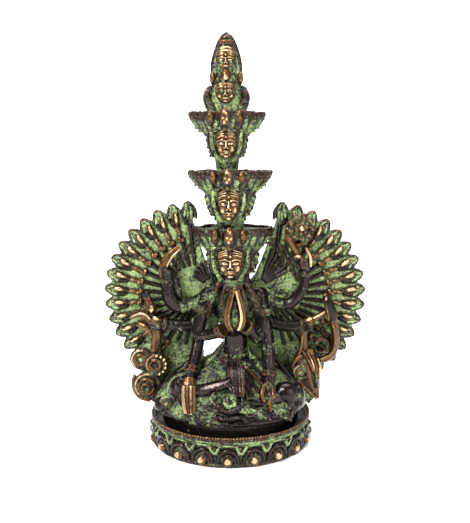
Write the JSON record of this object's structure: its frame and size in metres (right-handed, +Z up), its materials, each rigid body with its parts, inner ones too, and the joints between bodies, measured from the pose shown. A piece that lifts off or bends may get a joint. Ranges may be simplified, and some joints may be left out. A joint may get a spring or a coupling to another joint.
{
  "type": "thousand-armed avalokiteshvara statue",
  "caption": "Seated many-armed, many-headed deity cast in patinated bronze, two fans of hands behind a tower of heads, on an oval petalled base that rests on a shelf.",
  "frame": {"origin": "centre of the oval underside that rests on the shelf", "axes": "+Z up through the tower of heads, -Y towards the viewer in front, +X to the viewer's right"},
  "size_m": [0.175, 0.0954, 0.2615],
  "materials": {
    "bronze": "dark cast bronze, green patina in the hollows, rubbed gold on the high points"
  },
  "bodies": {
    "root": {"statue": "bronze"}
  },
  "joints": []
}
